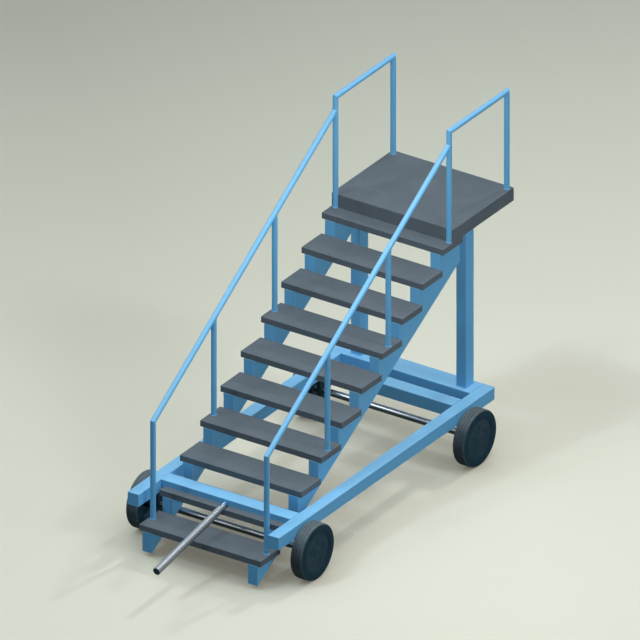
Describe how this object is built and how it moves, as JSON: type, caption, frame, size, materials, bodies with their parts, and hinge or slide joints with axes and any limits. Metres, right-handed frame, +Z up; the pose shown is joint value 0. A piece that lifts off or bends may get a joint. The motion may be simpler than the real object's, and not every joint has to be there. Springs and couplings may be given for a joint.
{
  "type": "mobile aircraft stairs",
  "caption": "Towable boarding stairs: open-riser flight with handrails up to a railed platform, on a four-wheel box-section chassis with a hinged tow bar.",
  "frame": {"origin": "on the floor under the middle of the overall length and width", "axes": "+Z up, +Y up the flight from its foot towards the platform, +X to the right of someone climbing"},
  "size_m": [1.812, 4.6012, 3.1643],
  "materials": {
    "blue_paint": "matt sky-blue paint",
    "slate_paint": "matt slate-grey paint",
    "bright_steel": "bare bright steel",
    "dark_paint": "matt near-black paint",
    "tyre": "matt black rubber"
  },
  "bodies": {
    "chassis": {"axle_front": "bright_steel", "axle_hanger_front_left": "dark_paint", "axle_hanger_front_right": "dark_paint", "axle_hanger_rear_left": "dark_paint", "axle_hanger_rear_right": "dark_paint", "axle_rear": "bright_steel", "front_cross_member": "blue_paint", "inclined_rail_left": "blue_paint", "inclined_rail_right": "blue_paint", "platform": "slate_paint", "platform_rail_left": "blue_paint", "platform_rail_right": "blue_paint", "post_platform_front_left": "blue_paint", "post_platform_front_right": "blue_paint", "post_platform_rear_left": "blue_paint", "post_platform_rear_right": "blue_paint", "post_tread_01_left": "blue_paint", "post_tread_01_right": "blue_paint", "post_tread_04_left": "blue_paint", "post_tread_04_right": "blue_paint", "post_tread_07_left": "blue_paint", "post_tread_07_right": "blue_paint", "rear_beam": "blue_paint", "rear_cross_member": "blue_paint", "side_rail_left": "blue_paint", "side_rail_right": "blue_paint", "stringer_left": "blue_paint", "stringer_right": "blue_paint", "support_post_left": "blue_paint", "support_post_right": "blue_paint", "tow_lug": "blue_paint", "tow_pin": "bright_steel", "tread_01": "slate_paint", "tread_02_front": "slate_paint", "tread_02_rear": "slate_paint", "tread_03": "slate_paint", "tread_04": "slate_paint", "tread_05": "slate_paint", "tread_06": "slate_paint", "tread_07": "slate_paint", "tread_08": "slate_paint", "tread_09": "slate_paint", "tread_10": "slate_paint"},
    "wheel_front_left": {"wheel_front_left": "dark_paint", "tyre_front_left": "tyre"},
    "wheel_front_right": {"wheel_front_right": "dark_paint", "tyre_front_right": "tyre"},
    "wheel_rear_left": {"wheel_rear_left": "dark_paint", "tyre_rear_left": "tyre"},
    "wheel_rear_right": {"wheel_rear_right": "dark_paint", "tyre_rear_right": "tyre"},
    "tow_bar": {"tow_bar": "bright_steel"}
  },
  "joints": [
    {"name": "wheel_front_left_spin", "type": "hinge", "parent": "chassis", "child": "wheel_front_left", "pos_m": [-0.846, -1.15638, 0.258], "axis": [1, 0, 0], "continuous": true},
    {"name": "wheel_front_right_spin", "type": "hinge", "parent": "chassis", "child": "wheel_front_right", "pos_m": [0.846, -1.15638, 0.258], "axis": [1, 0, 0], "continuous": true},
    {"name": "wheel_rear_left_spin", "type": "hinge", "parent": "chassis", "child": "wheel_rear_left", "pos_m": [-0.846, 1.35762, 0.258], "axis": [1, 0, 0], "continuous": true},
    {"name": "wheel_rear_right_spin", "type": "hinge", "parent": "chassis", "child": "wheel_rear_right", "pos_m": [0.846, 1.35762, 0.258], "axis": [1, 0, 0], "continuous": true},
    {"name": "tow_bar_lift", "type": "hinge", "parent": "chassis", "child": "tow_bar", "pos_m": [0, -1.26738, 0.48932], "axis": [-1, 0, 0], "range_deg": [0, 100]}
  ]
}
